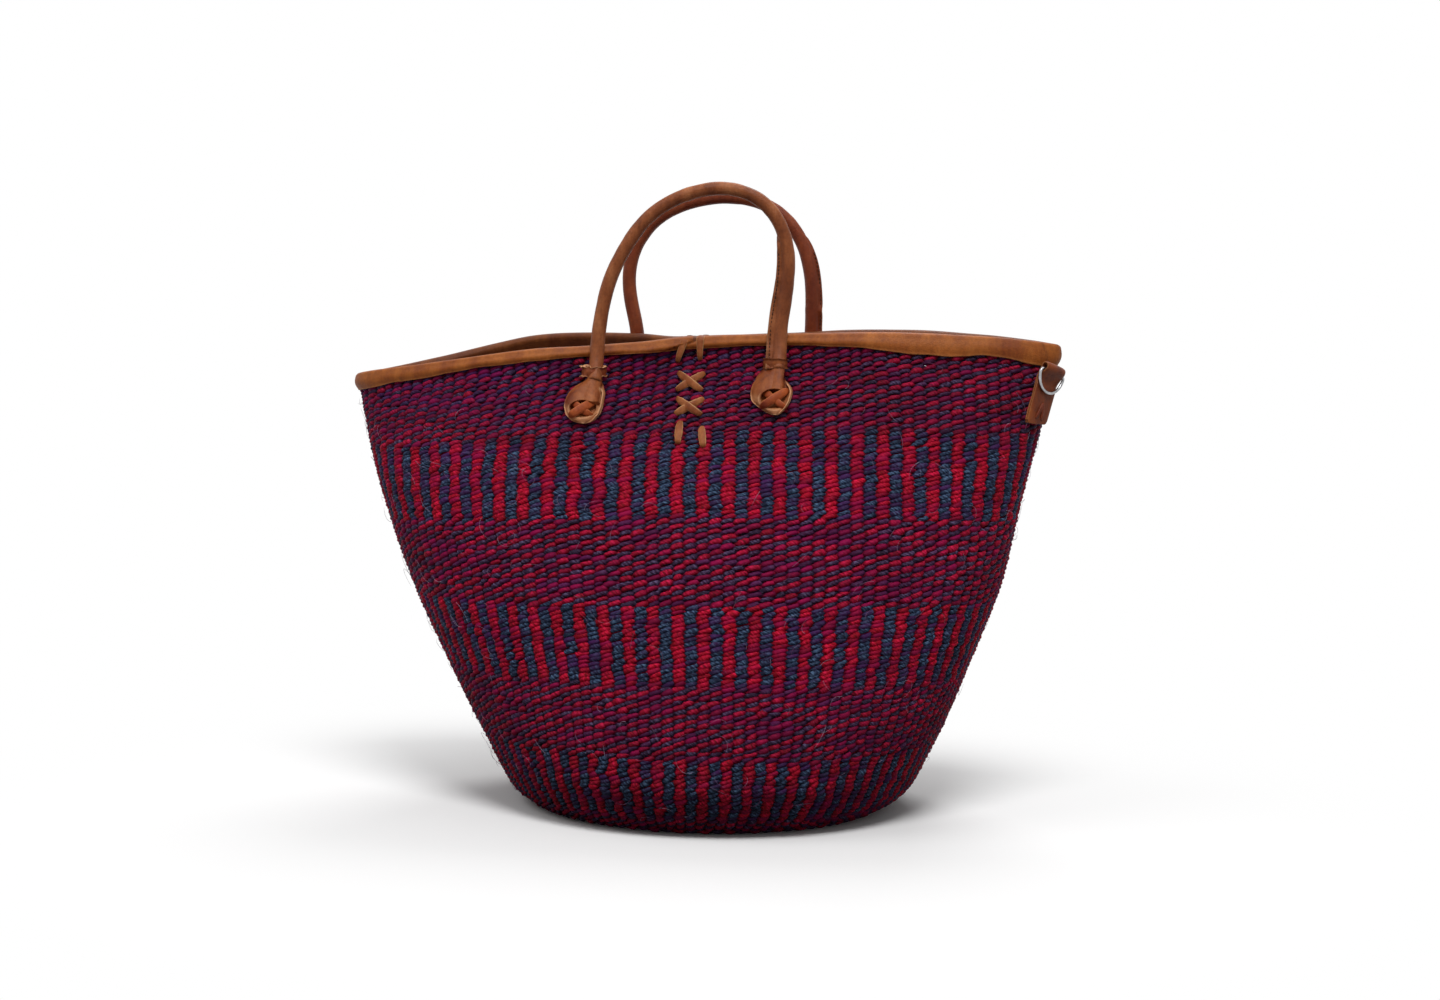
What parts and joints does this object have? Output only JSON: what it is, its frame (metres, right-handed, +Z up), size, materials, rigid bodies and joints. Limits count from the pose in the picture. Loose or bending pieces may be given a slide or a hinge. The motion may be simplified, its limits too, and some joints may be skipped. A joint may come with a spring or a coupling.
{
  "type": "kiondo basket",
  "caption": "Twined sisal carrying basket with a pinched leather-bound mouth, rolled leather handles, laced snap closure and steel strap rings.",
  "frame": {"origin": "on the ground plane under the middle of the whole length, the base's underside at Z 0", "axes": "+X along the mouth to the right tip, +Y from the front wall to the back wall, +Z up"},
  "size_m": [0.4318, 0.2428, 0.369],
  "materials": {
    "sisal_weave": "matte",
    "binding_leather": "satin",
    "handle_leather": "satin",
    "thong_leather": "matte",
    "dark_leather": "matte",
    "cord_core": "matte",
    "steel": "polished"
  },
  "bodies": {
    "basket": {"closure_tab_back": "dark_leather", "closure_tab_front": "dark_leather", "keeper_back_left": "handle_leather", "keeper_back_right": "handle_leather", "keeper_front_left": "handle_leather", "keeper_front_right": "handle_leather", "lace_cross_lower_back": "thong_leather", "lace_cross_lower_front": "thong_leather", "lace_cross_upper_back": "thong_leather", "lace_cross_upper_front": "thong_leather", "lace_rim_left_back": "thong_leather", "lace_rim_left_front": "thong_leather", "lace_rim_right_back": "thong_leather", "lace_rim_right_front": "thong_leather", "lace_upright_left_back": "thong_leather", "lace_upright_left_front": "thong_leather", "lace_upright_right_back": "thong_leather", "lace_upright_right_front": "thong_leather", "left_tab": "binding_leather", "left_tab_thong": "thong_leather", "right_tab": "binding_leather", "right_tab_thong": "thong_leather", "rim_binding": "binding_leather", "snap_half_back": "steel", "snap_half_front": "steel", "spoon_back_left": "handle_leather", "spoon_back_right": "handle_leather", "spoon_front_left": "handle_leather", "spoon_front_right": "handle_leather", "spoon_thong_back_left": "thong_leather", "spoon_thong_back_right": "thong_leather", "spoon_thong_front_left": "thong_leather", "spoon_thong_front_right": "thong_leather", "woven_body": "sisal_weave"},
    "front_handle": {"handle_front_cover": "handle_leather", "handle_front_core": "cord_core"},
    "back_handle": {"handle_back_cover": "handle_leather", "handle_back_core": "cord_core"},
    "right_ring_body": {"right_ring": "steel"},
    "left_ring_body": {"left_ring": "steel"}
  },
  "joints": [
    {"name": "front_handle_fold", "type": "hinge", "parent": "basket", "child": "front_handle", "pos_m": [-0.0036, -0.02808, 0.28265], "axis": [0.9941, 0.0736, 0.0799], "range_deg": [-12, 125]},
    {"name": "back_handle_fold", "type": "hinge", "parent": "basket", "child": "back_handle", "pos_m": [0.01015, 0.02646, 0.28502], "axis": [-0.9978, 0.016, -0.0644], "range_deg": [-12, 125]},
    {"name": "right_ring_swing", "type": "hinge", "parent": "basket", "child": "right_ring_body", "pos_m": [0.20854, -0.01475, 0.26435], "axis": [-0.6927, -0.6531, 0.306], "range_deg": [0, 140]},
    {"name": "left_ring_swing", "type": "hinge", "parent": "basket", "child": "left_ring_body", "pos_m": [-0.2058, 0.02343, 0.24083], "axis": [0.595, 0.6936, 0.406], "range_deg": [0, 140]}
  ]
}
